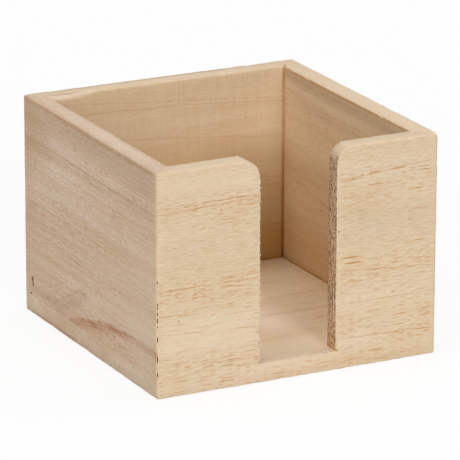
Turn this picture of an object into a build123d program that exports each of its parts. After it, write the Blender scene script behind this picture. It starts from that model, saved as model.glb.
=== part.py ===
from build123d import *
import os

# Memo box of pale unfinished wood for a stack of square note sheets.
# Four wall boards with mitred corners stand on a bottom board that reaches under them all round.
# The top is open, and a finger notch cut down to the bottom board divides the front wall in two.
# The origin is the centre of the underside, +Z is up, +X is to the right and the front faces -Y.

# Note sheets that the box holds
note_width = 90.0
note_depth = 90.0
note_clearance = 2.5

# Boards
wall_thickness = 7.5
wall_height = 74.5
bottom_thickness = 7.0

# Finger notch in the middle of the front wall
notch_width = 30.0
notch_corner_radius = 7.0

# Sanding of the finished box
outer_corner_radius = 1.2
edge_radius = 0.5

# Sizes that follow from the ones above
well_width = note_width + 2 * note_clearance
well_depth = note_depth + 2 * note_clearance
box_width = well_width + 2 * wall_thickness
box_depth = well_depth + 2 * wall_thickness


def rounded_footprint(height):
    """Solid of the box's outline seen from above, with the four upright corners sanded round."""
    return extrude(RectangleRounded(box_width, box_depth, outer_corner_radius), amount=height)


def bottom_board():
    """Board under the whole box, with its lower edges sanded."""
    board = rounded_footprint(bottom_thickness)
    lower_edges = board.edges().group_by(Axis.Z)[0]
    return fillet(lower_edges, edge_radius)


def sand_outer_corners(board):
    """Wall board in its place on the bottom board, cut back to the box's rounded upright corners."""
    return board & rounded_footprint(bottom_thickness + wall_height)


def wall_board(outer_length):
    """Whole wall with both ends mitred, standing on the XY plane with its outer face at y = 0."""
    half_outer = outer_length / 2
    half_inner = half_outer - wall_thickness
    plan = make_face(
        Polyline(
            (-half_outer, 0),
            (half_outer, 0),
            (half_inner, wall_thickness),
            (-half_inner, wall_thickness),
            close=True,
        )
    )
    board = extrude(plan, amount=wall_height)
    rim_edges = board.edges().filter_by(Axis.X).group_by(Axis.Z)[-1]
    return fillet(rim_edges, edge_radius)


def left_front_board():
    """Left half of the front wall: mitred at the box's corner, and rounded where the rim meets the notch."""
    half_outer = box_width / 2
    half_inner = half_outer - wall_thickness
    half_notch = notch_width / 2
    plan = make_face(
        Polyline(
            (-half_outer, 0),
            (-half_notch, 0),
            (-half_notch, wall_thickness),
            (-half_inner, wall_thickness),
            close=True,
        )
    )
    board = extrude(plan, amount=wall_height)
    rim_ends = board.edges().filter_by(Axis.Y).group_by(Axis.Z)[-1]
    board = fillet(rim_ends.sort_by(Axis.X)[-1], notch_corner_radius)
    outer_outline = board.faces().sort_by(Axis.Y)[0].edges()
    inner_outline = board.faces().sort_by(Axis.Y)[-1].edges()
    eased_edges = []
    for outline in (outer_outline, inner_outline):
        above_base = outline.sort_by(Axis.Z)[1:]
        eased_edges += above_base.sort_by(Axis.X)[1:]
    return fillet(eased_edges, edge_radius)


def make_boards():
    """Every board of the box in its place, by name."""
    front = Pos(0, -box_depth / 2, bottom_thickness)
    back = Pos(0, box_depth / 2, bottom_thickness) * Rot(0, 0, 180)
    left = Pos(-box_width / 2, 0, bottom_thickness) * Rot(0, 0, -90)
    right = Pos(box_width / 2, 0, bottom_thickness) * Rot(0, 0, 90)
    left_front = front * left_front_board()
    right_front = mirror(left_front, about=Plane.YZ)
    return {
        "bottom_board": bottom_board(),
        "left_side": sand_outer_corners(left * wall_board(box_depth)),
        "right_side": sand_outer_corners(right * wall_board(box_depth)),
        "back_panel": sand_outer_corners(back * wall_board(box_width)),
        "front_left_panel": sand_outer_corners(left_front),
        "front_right_panel": sand_outer_corners(right_front),
    }


os.makedirs("parts", exist_ok=True)
for name, board in make_boards().items():
    board.label = name
    export_step(board, f"parts/{name}.step")
    size = board.bounding_box().size
    print(f"{name}: {size.X:.1f} x {size.Y:.1f} x {size.Z:.1f} mm, {board.volume / 1000:.1f} cm3")
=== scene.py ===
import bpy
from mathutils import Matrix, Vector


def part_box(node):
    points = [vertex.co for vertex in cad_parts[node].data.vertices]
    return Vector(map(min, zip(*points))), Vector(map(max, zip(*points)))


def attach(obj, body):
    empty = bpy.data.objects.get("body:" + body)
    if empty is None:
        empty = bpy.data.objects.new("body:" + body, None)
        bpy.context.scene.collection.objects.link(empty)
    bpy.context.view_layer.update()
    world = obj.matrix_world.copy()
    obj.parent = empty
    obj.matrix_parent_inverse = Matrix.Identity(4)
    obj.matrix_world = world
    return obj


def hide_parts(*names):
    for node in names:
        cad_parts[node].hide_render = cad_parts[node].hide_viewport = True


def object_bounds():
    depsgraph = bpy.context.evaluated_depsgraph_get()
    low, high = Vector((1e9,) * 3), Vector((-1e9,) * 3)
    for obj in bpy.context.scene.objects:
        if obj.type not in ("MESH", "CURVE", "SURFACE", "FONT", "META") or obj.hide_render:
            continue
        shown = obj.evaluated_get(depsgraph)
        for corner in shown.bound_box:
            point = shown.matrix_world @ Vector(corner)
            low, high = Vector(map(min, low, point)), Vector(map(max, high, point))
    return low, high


bl_info = {
    "name": "Memo Box",
    "version": (1, 0, 0),
    "blender": (4, 5, 0),
    "location": "View3D > Sidebar > Memo Box",
    "description": "Finishes the boards of a wooden memo box and sets it in a plain studio",
    "category": "Object",
}

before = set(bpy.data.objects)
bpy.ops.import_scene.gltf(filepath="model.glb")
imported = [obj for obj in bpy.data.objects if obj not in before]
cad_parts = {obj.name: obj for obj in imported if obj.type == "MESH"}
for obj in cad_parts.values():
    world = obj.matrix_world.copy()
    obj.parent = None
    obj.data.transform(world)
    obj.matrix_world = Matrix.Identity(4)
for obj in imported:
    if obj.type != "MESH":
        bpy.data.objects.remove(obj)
cad_low, cad_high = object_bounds()

import math
from collections import namedtuple

import bmesh
import bpy
from bpy.props import FloatProperty, FloatVectorProperty, PointerProperty
from mathutils import Quaternion, Vector, noise

# Places that the frame gives. The origin is the centre of the underside, and the front faces -Y.
RIM = cad_high.z
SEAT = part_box("bottom_board")[1].z
HALF_WIDTH = cad_high.x
HALF_DEPTH = cad_high.y
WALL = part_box("back_panel")[1].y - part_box("back_panel")[0].y
WELL_X = HALF_WIDTH - WALL
WELL_Y = HALF_DEPTH - WALL
NOTCH_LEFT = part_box("front_left_panel")[1].x
NOTCH_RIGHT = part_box("front_right_panel")[0].x

MM = 0.001
UP = Vector((0, 0, 1))
WHITE = (1.0, 1.0, 1.0, 1.0)

# Vertices closer than the first are one, places closer than the second are at one height, and places
# closer than the third to a face of a wall count as on it.
SAME_VERTEX = MM / 1e4
SAME_HEIGHT = MM / 100
AT_FACE = WALL / 8

# Edges this sharp are sanded, and those sharper than the second stay creases when they are shaded
SANDED_ANGLE = math.radians(60)
CREASE_ANGLE = math.radians(40)

# How far from an arris the wear reaches
WEAR_REACH = 1.3 * MM

# Wood that a board keeps beyond its seat until the joint is sawn
SPARE = SEAT / 2

# Spacing of the lines of vertices as shares of the pitch: on the front, up its torn edge, on the bottom
FRONT_PITCH = 0.8
TORN_PITCH = 0.4
BOTTOM_PITCH = 1.2

# The studio floor, which reaches far beyond the view, and the camera's sensor in millimetres
FLOOR_RADIUS = 8.0
FLOOR_SEGMENTS = 96
SENSOR_WIDTH = 36.0

# Facets across each kind of rounding
CORNER_SEGMENTS = 6
ARRIS_SEGMENTS = 3
NOTCH_SEGMENTS = 14

# Where growth lines stop along a board, in millimetres: past its ends, or inside the notch
BOARD_END = 57
BEFORE_NOTCH = -13
AFTER_NOTCH = 13

# A place on the box, its reach along each axis, and how deep the wood is missing there, in millimetres.
Dent = namedtuple("Dent", "place reach depth")

# An open stretch of an upright joint: its height, half its length and its depth, in millimetres.
OpenJoint = namedtuple("OpenJoint", "height half_length depth")

# A growth line or a broad band, in millimetres. Below is how far under the rim it crosses the middle of
# the board, width is half its own, slope and bend shape it, and wander is how far it strays. Pores is how
# porous the wood is along it, and feather how far it breaks up.
Line = namedtuple(
    "Line",
    "below width color strength slope bend wander pores feather start end",
    defaults=(0, 0, 0.4, 0, 0.3, -BOARD_END, BOARD_END),
)

# A spot: its place and reach in the coordinates of its board, in millimetres, and how soft its edge is.
Spot = namedtuple("Spot", "place reach color strength softness", defaults=(0.9,))

# The wood of a board: its colour, the tint and speckle of its end grain, how strong its tone, fibres and
# saw marks are, the seed of its pattern and the axis of its grain. Pores is a profile of porosity across
# the grain, and the well shade and glue bands are broad tones on the face in the well that paint the shade
# deepening the lower it lies, together with the glue line along the seat.
Wood = namedtuple(
    "Wood",
    "color end_tint speckle tone fibre saw_marks seed along pores lines spots well_bands flat",
    defaults=((), False),
)


# Sizes and colours that a user would change

def length_property(name, description, millimetres):
    """Length setting, given in millimetres."""
    return FloatProperty(
        name=name, description=description, default=millimetres * MM, subtype="DISTANCE", unit="LENGTH"
    )


def angle_property(name, description, degrees):
    """Angle setting, given in degrees."""
    return FloatProperty(
        name=name, description=description, default=math.radians(degrees), subtype="ANGLE", unit="ROTATION"
    )


def color_property(name, description, default):
    """Colour setting."""
    return FloatVectorProperty(
        name=name, description=description, default=default, subtype="COLOR", min=0.0, max=1.0
    )


def light_property(name, light, default):
    """Setting of how bright a light is."""
    description = f"Brightness that the {light} gives a white surface that faces it"
    return FloatProperty(name=name, description=description, default=default, min=0.0)


class MemoBoxSizes(bpy.types.PropertyGroup):
    """Sizes of the finish on the boards."""

    corner_radius: length_property(
        "Corner radius", "Rounding of the four upright corners of the box", 1.2
    )
    arris_radius: length_property(
        "Arris radius", "Rounding that sanding left on the rim, the notch and the lower edges", 0.55
    )
    left_notch_radius: length_property(
        "Left notch radius", "Rounding where the rim of the left front panel runs into the notch", 7.3
    )
    right_notch_radius: length_property(
        "Right notch radius", "Rounding where the rim of the right front panel runs into the notch", 6.4
    )
    notch_offset: length_property(
        "Notch offset", "How far the right edge of the notch was sawn towards the middle", 0.4
    )
    notch_slant: angle_property(
        "Notch slant", "Angle by which the right edge of the notch was sawn out of square", 4.0
    )
    wear: length_property(
        "Wear", "How much wood hand sanding took off the arrises where it went deepest", 0.28
    )
    waviness: length_property(
        "Waviness", "Height of the slow waves that planing left in the faces", 0.05
    )
    pitch: length_property(
        "Mesh pitch", "Distance between the lines of vertices that carry the wear", 1.0
    )


class MemoBoxWood(bpy.types.PropertyGroup):
    """Colours of the bare wood."""

    front: color_property("Front", "Pale cream wood of the front panels", (0.735, 0.57, 0.385))
    back: color_property("Back", "Warmer cream wood of the back", (0.7, 0.53, 0.347))
    left: color_property("Left side", "Slightly pinker wood of the left side", (0.71, 0.522, 0.37))
    right: color_property("Right side", "Golden wood of the right side", (0.755, 0.56, 0.352))
    bottom: color_property("Bottom", "Pale wood of the bottom board", (0.735, 0.575, 0.395))
    pore: color_property("Pores", "Orange brown of the open pores", (0.53, 0.22, 0.03))
    end_grain: color_property(
        "End grain", "Tint of sawn end grain over the colour of its board", (0.92, 0.83, 0.77)
    )
    bottom_end: color_property(
        "End grain of the bottom",
        "Tint of the bottom board's ends, which were sanded smooth",
        (1.0, 0.98, 1.0),
    )
    line: color_property("Growth lines", "Brown of the thin growth lines", (0.53, 0.265, 0.085))
    streak: color_property(
        "Mineral streak",
        "Reddish brown of the feathery streak low on the left side",
        (0.4, 0.135, 0.055),
    )
    pale: color_property(
        "Pale wood", "Light tone of the bands between the growth lines", (0.80, 0.65, 0.47)
    )
    chalk: color_property(
        "Sanded rims",
        "Pale pinkish tone of the rims, where sanding left them chalky",
        (0.82, 0.675, 0.53),
    )
    # Painted shade: this golden brown is drawn low in the well, on the floor by the right side and the
    # back, and at the foot of the notch, where it stands for the darker, warmer shade there. It also tints
    # the front edge of the bottom board.
    amber_and_shade: color_property(
        "Deep in the well", "Golden brown low in the well, where sanding didn't reach", (0.66, 0.4, 0.13)
    )
    shade: color_property(
        "Grey shade", "Greyish brown of the swirl beside the knot", (0.46, 0.315, 0.205)
    )
    # Partly painted shade: besides the warm bands in the grain and the marks on the rims, this orange
    # brown paints the shade along the outer arris of the back rim, on the left of the back's face in the
    # well, and in the bands low in the well.
    rust_and_shade: color_property(
        "Warm bands", "Orange brown of the warm bands and of the burnished arrises", (0.47, 0.27, 0.125)
    )
    knot: color_property("Knots", "Dark brown of knots and specks", (0.11, 0.05, 0.022))
    glue: color_property(
        "Glue", "Orange brown of the glue that shows along the joints", (0.5, 0.235, 0.055)
    )
    joint: color_property(
        "Open joints", "Dark brown inside a joint that stands open", (0.1, 0.042, 0.014)
    )


class MemoBoxStudio(bpy.types.PropertyGroup):
    """Light and camera of the plain studio."""

    surround: FloatProperty(
        name="Surround", description="Strength of the even light from all round", default=0.12, min=0.0
    )
    front: light_property("Front light", "soft light in front", 0.45)
    left: light_property("Left light", "low light on the left", 0.235)
    upper_left: light_property("Upper left light", "high light on the left", 0.14)
    upper_right: light_property("Upper right light", "high light on the right", 0.165)
    overhead: light_property("Overhead light", "light above", 0.27)
    floor: color_property(
        "Floor", "Colour of the floor that throws light back at the box", (0.78, 0.775, 0.77)
    )
    shadow: FloatProperty(
        name="Shadow",
        description="Share of the floor's brightness that the box's shadow can take away",
        default=0.14,
        min=0.0,
        max=1.0,
    )
    azimuth: angle_property(
        "Azimuth",
        "Direction of the camera round the box, from straight in front towards the right",
        -27.09,
    )
    elevation: angle_property("Elevation", "Height of the camera over the horizon", 17.73)
    roll: angle_property("Roll", "Tilt of the camera about its line of sight", 0.18)
    distance: length_property("Distance", "From the camera to the point that it looks at", 1501)
    aim: FloatVectorProperty(
        name="Aim",
        description="Point in the box that the camera looks at",
        default=(0.5 * MM, -1.1 * MM, 38.3 * MM),
        subtype="TRANSLATION",
        unit="LENGTH",
    )
    lens: FloatProperty(
        name="Lens",
        description="Focal length of the camera in millimetres, on a sensor 36 mm wide",
        default=327.8,
        min=1.0,
    )


def sizes():
    """Size settings of the scene."""
    return bpy.context.scene.memo_box_sizes


def wood_color(name):
    """Colour from the wood settings, opaque."""
    return (*getattr(bpy.context.scene.memo_box_wood, name), 1.0)


def studio():
    """Studio settings of the scene."""
    return bpy.context.scene.memo_box_studio


def add_object(name, data):
    """New object in the scene."""
    made = bpy.data.objects.new(name, data)
    bpy.context.scene.collection.objects.link(made)
    return made


# Shared measures

def ease(value, start, end):
    """0 before start, 1 after end, and smooth between them."""
    share = min(max((value - start) / (end - start), 0.0), 1.0)
    return share * share * (3 - 2 * share)


def closeness(point, place, reach):
    """1 at a place, falling smoothly to 0 at its reach along each axis, both in millimetres."""
    away = Vector([(p / MM - q) / r for p, q, r in zip(point, place, reach)])
    return ease(away.length, 1.0, 0.0)


def unevenness(place, per_metre, start=(0, 0, 0)):
    """Noise around 0 with so many bumps to the metre, and another start for another pattern."""
    return noise.noise(place * per_metre + Vector(start))


def round_corner(first, second, radius):
    """Distance inside two faces that meet in a round corner."""
    if first < radius and second < radius:
        return radius - math.hypot(radius - first, radius - second)
    return min(first, second)


def notch_edge(side):
    """Where the outer face of the left (side -1) or right (side 1) front panel ends at the notch."""
    return NOTCH_LEFT if side < 0 else NOTCH_RIGHT - sizes().notch_offset


def depth_in_outline(point):
    """Distance below the rim or above the underside, and on the front wall also from the notch."""
    if point.z < SEAT:
        return point.z
    below = RIM - point.z
    if point.y > -WELL_Y + WALL:
        return below
    if point.x < 0:
        return round_corner(below, notch_edge(-1) - point.x, sizes().left_notch_radius)
    return round_corner(below, point.x - notch_edge(1), sizes().right_notch_radius)


def arris_closeness(point, reach):
    """1 on an arris of the box, and 0 further than reach from all of them."""
    outer_x = HALF_WIDTH - abs(point.x)
    outer_y = HALF_DEPTH - abs(point.y)
    well = max(abs(point.x) - WELL_X, abs(point.y) - WELL_Y)
    depths = sorted([outer_x, outer_y, well, depth_in_outline(point)])
    return ease(math.hypot(max(depths[0], 0.0), max(depths[1], 0.0)), reach, 0.0)


# Bench work on one board

def new_block(low, high):
    """Solid block between two corners."""
    bm = bmesh.new()
    bmesh.ops.create_cube(bm, size=1.0)
    bmesh.ops.scale(bm, vec=high - low, verts=bm.verts)
    bmesh.ops.translate(bm, vec=(low + high) / 2, verts=bm.verts)
    return bm


def whole(bm):
    """All of a board's mesh."""
    return bm.verts[:] + bm.edges[:] + bm.faces[:]


def round_over(bm, edges, radius, segments):
    """Rounds edges with a circular profile."""
    bmesh.ops.bevel(
        bm,
        geom=edges,
        offset=radius,
        offset_type="OFFSET",
        segments=segments,
        profile=0.5,
        affect="EDGES",
        material=-1,
    )


def upright_edges(bm):
    """Edges that run straight up."""
    return [e for e in bm.edges if abs((e.verts[1].co - e.verts[0].co).normalized().dot(UP)) > 0.999]


def sharp_edges(bm, sawn_height):
    """Edges that still have a corner, apart from those at a height where a joint will be sawn."""
    found = []
    for edge in bm.edges:
        at_joint = all(abs(v.co.z - sawn_height) < SAME_HEIGHT for v in edge.verts)
        if not at_joint and edge.calc_face_angle() > SANDED_ANGLE:
            found.append(edge)
    return found


def saw(bm, point, away):
    """Takes off what lies on the away side of a plane and returns the open outline of the cut."""
    cut = bmesh.ops.bisect_plane(
        bm, geom=whole(bm), dist=SAME_VERTEX, plane_co=point, plane_no=away, clear_outer=True
    )
    return [e for e in cut["geom_cut"] if isinstance(e, bmesh.types.BMEdge)]


def saw_face(bm, point, away):
    """Saws a flat face."""
    bmesh.ops.edgeloop_fill(bm, edges=saw(bm, point, away))


def mark_line(bm, point, across):
    """Adds a line of vertices round the board where a plane meets it."""
    bmesh.ops.bisect_plane(bm, geom=whole(bm), dist=SAME_VERTEX, plane_co=point, plane_no=across)


def axis_direction(axis):
    """Unit vector along axis 0, 1 or 2."""
    return Vector([float(i == axis) for i in range(3)])


def mark_grid(bm, pitches):
    """Adds lines of vertices along the two long directions of the board, for the wear to move. Pitches
    are the distances between them on each axis."""
    low = Vector([min(v.co[i] for v in bm.verts) for i in range(3)])
    high = Vector([max(v.co[i] for v in bm.verts) for i in range(3)])
    for axis in range(3):
        span = high[axis] - low[axis]
        if span < 2 * WALL:
            continue
        across = axis_direction(axis)
        count = round(span / pitches[axis])
        for step in range(1, count):
            mark_line(bm, low + across * span * step / count, across)


def mark_dents(bm, dents, axes):
    """Adds close lines of vertices through the small dents."""
    for dent in dents:
        for axis in axes:
            across = axis_direction(axis)
            for quarters in range(-4, 5):
                offset = quarters / 4 * dent.reach[axis]
                mark_line(bm, across * (dent.place[axis] + offset) * MM, across)


def mark_gaps(bm, side):
    """Adds close lines of vertices through the open stretches of the joint at the near left corner."""
    if side > 0:
        return
    for gap in FRONT_LEFT_GAPS:
        for share in (-1, -0.6, 0, 0.6, 1):
            mark_line(bm, UP * (gap.height + share * gap.half_length) * MM, UP)


def wear_down(bm, dents, torn=None):
    """Moves the surface inwards: slow waves in the faces, uneven sanding along the arrises, dents."""
    bm.normal_update()
    worn = []
    for vert in bm.verts:
        place = vert.co
        amount = sizes().waviness * (0.5 + 0.5 * unevenness(place, 55, (3, 7, 1)))
        uneven = 0.35 + 0.7 * unevenness(place, 110) + 0.5 * unevenness(place, 520, (9, 2, 5))
        amount += sizes().wear * max(0.0, uneven) * arris_closeness(place, WEAR_REACH)
        for dent in dents:
            rough = 0.75 + 0.35 * unevenness(place, 900) if dent.depth > 0 else 1.0
            amount += dent.depth * MM * rough * closeness(place, dent.place, dent.reach)
        if torn:
            amount += torn(place)
        worn.append((vert, vert.normal * amount))
    for vert, inwards in worn:
        vert.co -= inwards
        vert.co.x = min(max(vert.co.x, -HALF_WIDTH), HALF_WIDTH)
        vert.co.y = min(max(vert.co.y, -HALF_DEPTH), HALF_DEPTH)
        vert.co.z = min(vert.co.z, RIM)


def cut_joint(bm, point, away, lip, openness, stain):
    """Saws a joint face and opens a hairline round it. Lip is the width in millimetres of the strip that
    the joint stains, openness(place) the depth of the hairline, and stain(place) how brown it is: up to
    0.5 the glue shows more and more, and above that the joint is dark."""
    strip = lip * MM
    mark_line(bm, point - away * strip, away)
    outline = saw(bm, point, away)
    bm.normal_update()
    joint = bm.verts.layers.float["joint"]
    for vert in bm.verts:
        share = 1 - (point - vert.co).dot(away) / strip
        if share > 0:
            vert[joint] = max(vert[joint], share * stain(vert.co))
    opened = {v: v.normal.copy() for e in outline for v in e.verts}
    for vert, out in opened.items():
        vert.co -= out * openness(vert.co)
    bmesh.ops.edgeloop_fill(bm, edges=outline)


def saw_seat(bm):
    """Saws the face of a wall that stands on the bottom board."""
    cut_joint(bm, Vector((0, 0, SEAT)), -UP, SEAT_LIP, seat_openness, seat_stain)


def finish_board(bm, name, material):
    """Turns the mesh into the piece that stands for its CAD board."""
    bmesh.ops.dissolve_degenerate(bm, dist=SAME_VERTEX, edges=bm.edges)
    bmesh.ops.recalc_face_normals(bm, faces=bm.faces)
    mesh = bpy.data.meshes.new(name + "_wood")
    bm.to_mesh(mesh)
    bm.free()
    mesh.shade_smooth()
    mesh.set_sharp_from_angle(angle=CREASE_ANGLE)
    mesh.materials.append(material)
    piece = add_object(name + "_wood", mesh)
    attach(piece, "root")
    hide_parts(name)


# Wear of this box, in millimetres in the frame of the box

NEAR_RIGHT_CORNER_DENTS = (
    Dent((55, -55, 70.4), (1.6, 1.6, 1), 0.75),
    Dent((55, -55, 81.5), (2.6, 2.6, 2), 0.7),
)
FRONT_LEFT_DENTS = (
    Dent((-20.9, -47.5, 81.2), (1.1, 0.8, 0.9), -0.4),
    Dent((-15.6, -55, 74.6), (2.2, 2, 4.2), 0.4),
    Dent((-16.6, -55, 78), (0.7, 2, 0.7), -0.3),
    Dent((-15.2, -55, 73.8), (0.8, 1.8, 0.7), -0.28),
)
BACK_DENTS = (
    Dent((36, 55, 81.5), (2.6, 1.3, 1.6), 0.55),
    Dent((12, 55, 81.5), (3.6, 0.9, 0.9), 0.25),
    Dent((-42, 47.5, 81.5), (15, 1.7, 1.8), 0.95),
    Dent((28, 55, 81.5), (8, 0.7, 0.6), 0.25),
)
RIGHT_DENTS = (
    Dent((47.5, 29, 81.5), (1, 2.2, 1.2), 0.5),
    Dent((47.5, -10, 81.5), (0.9, 1.6, 1), 0.4),
    Dent((47.5, -27, 81.5), (1, 2.6, 1.3), 0.5),
    *NEAR_RIGHT_CORNER_DENTS,
)
LEFT_DENTS = (
    Dent((-55, 48, 12.7), (2, 0.7, 1.6), 0.8),
    Dent((-55, 49.3, 7.7), (2, 0.7, 0.45), 0.4),
)
BOTTOM_DENTS = (Dent((-32, -55, 0), (0.6, 1, 0.6), 0.35),)
FRONT_LEFT_GAPS = (
    OpenJoint(42.3, 0.7, 0.25),
    OpenJoint(34.5, 0.6, 0.35),
    OpenJoint(33.2, 0.6, 0.35),
    OpenJoint(31.1, 0.7, 0.4),
    OpenJoint(28.7, 1.0, 0.6),
    OpenJoint(26.4, 0.5, 0.2),
    OpenJoint(21.8, 1.1, 0.45),
    OpenJoint(14.6, 1.4, 0.7),
    OpenJoint(8.9, 1.0, 0.4),
)

# Widths of the strips that the joints stain, in millimetres
FRONT_MITRE_LIP = 0.14
SEAT_LIP = 0.8
BOTTOM_LIP = 0.3


def mitre_lip(outwards, corner):
    """Width of the stained strip along a mitre of a side or the back, in millimetres."""
    if corner.x > 0 and corner.y > 0:
        return 1.3 if outwards.x else 0.7
    return 0.4


def in_well(place):
    """Whether a place on a joint faces the well."""
    return max(abs(place.x) - WELL_X, abs(place.y) - WELL_Y) < AT_FACE


def in_back_right_corner(place):
    """Whether a place on a joint lies in the well's back right corner."""
    return place.x > 0 and place.y > 0 and in_well(place)


def in_notch(place):
    """Whether a place on the seat lies at the notch."""
    return place.y < 0 and abs(place.x) < NOTCH_RIGHT + AT_FACE


def corner_gap(place):
    """Depth to which the mitre at the near left corner stands open, in metres."""
    if place.x > 0 or place.y > 0 or in_well(place):
        return 0.0
    height = place.z / MM
    return MM * max(g.depth * ease(abs(height - g.height), g.half_length, 0.0) for g in FRONT_LEFT_GAPS)


def mitre_openness(place):
    """Depth of the hairline along the mitres, which stand open only in a few places."""
    if in_back_right_corner(place):
        return MM * (0.02 + 0.015 * unevenness(place, 160))
    return max(0.015 * MM, corner_gap(place))


def mitre_stain(place):
    """Glue on the mitres, which in the inner back right corner grows browner towards the floor."""
    if in_back_right_corner(place):
        low = ease(place.z, 65 * MM, 20 * MM)
        lowest = ease(place.z, SEAT + 7 * MM, SEAT)
        return 0.26 + 0.38 * low + 0.3 * lowest + 0.14 * unevenness(place, 220)
    return 1.8 * ease(corner_gap(place), 0.02 * MM, 0.2 * MM)


def seat_openness(place):
    """Depth of the hairline between the walls and the bottom board, which is wider in the well."""
    if in_well(place):
        return MM * (0.03 + 0.03 * unevenness(place, 90))
    return MM * (0.02 + 0.03 * max(0.0, unevenness(place, 140)))


def seat_stain(place):
    """Glue between the walls and the bottom board, which hardly shows on the outside."""
    if in_notch(place):
        return 0.65
    if in_well(place):
        return 0.74 + 0.2 * unevenness(place, 150)
    return 0.06 * max(0.0, unevenness(place, 200))


def no_stain(_):
    """No glue at all."""
    return 0.0


# Making the boards

def box_block(low_z, high_z):
    """Block with the footprint of the whole box and its upright corners sanded round."""
    bm = new_block(Vector((-HALF_WIDTH, -HALF_DEPTH, low_z)), Vector((HALF_WIDTH, HALF_DEPTH, high_z)))
    bm.verts.layers.float.new("joint")
    round_over(bm, upright_edges(bm), sizes().corner_radius, CORNER_SEGMENTS)
    return bm


def wall_block(outwards):
    """Wall board sawn from the box's block, still running past both corners and below its seat."""
    bm = box_block(SEAT - SPARE, RIM)
    saw_face(bm, outwards * (WELL_X if outwards.x else WELL_Y), -outwards)
    return bm


def ease_arrises(bm, sawn_height):
    """Sands the sharp edges, but not those at the height where the joint will be sawn."""
    round_over(bm, sharp_edges(bm, sawn_height), sizes().arris_radius, ARRIS_SEGMENTS)


def make_wall(name, outwards, dents, material):
    """Whole side or back wall."""
    bm = wall_block(outwards)
    ease_arrises(bm, SEAT - SPARE)
    mark_grid(bm, Vector((1, 1, 1)) * sizes().pitch)
    mark_dents(bm, dents, (1, 2) if outwards.x else (0, 2))
    mark_gaps(bm, outwards.x)
    wear_down(bm, dents)
    for side in (-1, 1):
        along = Vector((-outwards.y, outwards.x, 0)) * side
        corner = Vector((HALF_WIDTH * (outwards + along).x, HALF_DEPTH * (outwards + along).y, 0))
        away = (along - outwards).normalized()
        cut_joint(bm, corner, away, mitre_lip(outwards, corner), mitre_openness, mitre_stain)
    saw_seat(bm)
    finish_board(bm, name, material)


def notch_tear(place):
    """Ragged saw cut down the notch edge of the left front panel."""
    if place.x > 0 or RIM - place.z < sizes().left_notch_radius:
        return 0.0
    edge = math.hypot(NOTCH_LEFT - place.x, place.y + HALF_DEPTH)
    height = Vector((0, 0, place.z))
    coarse = unevenness(height, 480, (0, 3, 0))
    fine = unevenness(height, 1400, (5, 0, 0))
    return MM * (0.1 * coarse + 0.75 * fine) * ease(edge, 1.1 * MM, 0.1 * MM)


def make_front_panel(name, side, dents, material):
    """Front panel left (side -1) or right (side 1) of the notch."""
    outwards = Vector((0, -1, 0))
    notch = notch_edge(side)
    radius = sizes().left_notch_radius if side < 0 else sizes().right_notch_radius
    bm = wall_block(outwards)
    slant = sizes().notch_slant if side > 0 else 0.0
    saw_face(bm, Vector((notch, -HALF_DEPTH, 0)), Vector((-side * math.cos(slant), math.sin(slant), 0)))
    rim_end = [
        e
        for e in bm.edges
        if all(abs(v.co.x - notch) < AT_FACE and abs(v.co.z - RIM) < SAME_HEIGHT for v in e.verts)
    ]
    round_over(bm, rim_end, radius, NOTCH_SEGMENTS)
    ease_arrises(bm, SEAT - SPARE)
    up_pitch = TORN_PITCH if side < 0 else FRONT_PITCH
    mark_grid(bm, Vector((FRONT_PITCH, FRONT_PITCH, up_pitch)) * sizes().pitch)
    mark_gaps(bm, side)
    mark_dents(bm, dents, (0, 2))
    wear_down(bm, dents, notch_tear)
    corner = Vector((side * HALF_WIDTH, -HALF_DEPTH, 0))
    away = Vector((side, 1, 0)).normalized()
    cut_joint(bm, corner, away, FRONT_MITRE_LIP, mitre_openness, mitre_stain)
    saw_seat(bm)
    finish_board(bm, name, material)


def make_bottom(name, material):
    """Bottom board."""
    bm = box_block(0, SEAT + SPARE)
    ease_arrises(bm, SEAT + SPARE)
    mark_grid(bm, Vector((1, 1, 1)) * sizes().pitch * BOTTOM_PITCH)
    mark_dents(bm, BOTTOM_DENTS, (0,))
    wear_down(bm, BOTTOM_DENTS)
    cut_joint(bm, Vector((0, 0, SEAT)), UP, BOTTOM_LIP, seat_openness, no_stain)
    finish_board(bm, name, material)


# Node helpers

def fill(tree, socket, value):
    """Gives a socket another node's output or a fixed value."""
    if isinstance(value, bpy.types.NodeSocket):
        tree.links.new(value, socket)
    else:
        socket.default_value = value


def add_node(tree, kind, inputs=None, **settings):
    """Adds a node, gives it its settings, and fills its inputs by their names or numbers."""
    node = tree.nodes.new("ShaderNode" + kind)
    for setting, value in settings.items():
        setattr(node, setting, value)
    for socket, value in (inputs or {}).items():
        fill(tree, node.inputs[socket], value)
    return node


def calc(tree, operation, *values):
    """Output of a Math node."""
    return add_node(tree, "Math", dict(enumerate(values)), operation=operation).outputs["Value"]


def times(tree, first, second):
    """Product of two values."""
    return calc(tree, "MULTIPLY", first, second)


def swing(tree, value, amount, rest=0.0):
    """Turns noise between 0 and 1 into a swing of an amount about a resting value."""
    return calc(tree, "MULTIPLY_ADD", calc(tree, "SUBTRACT", value, 0.5), amount, rest)


def vector_calc(tree, operation, *values):
    """Vector output of a Vector Math node."""
    return add_node(tree, "VectorMath", dict(enumerate(values)), operation=operation).outputs["Vector"]


def axes_of(tree, vector):
    """The X, Y and Z outputs of a vector."""
    return add_node(tree, "SeparateXYZ", {"Vector": vector}).outputs


def fade(tree, value, start, end):
    """0 before start, 1 after end, and smooth between them."""
    inputs = {"Value": value, "From Min": start, "From Max": end}
    return add_node(tree, "MapRange", inputs, interpolation_type="SMOOTHSTEP").outputs["Result"]


def mix(tree, share, first, second, blend_type="MIX"):
    """Colour between two colours."""
    inputs = {0: share, 6: first, 7: second}
    node = add_node(tree, "Mix", inputs, data_type="RGBA", blend_type=blend_type, clamp_factor=True)
    return node.outputs[2]


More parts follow.
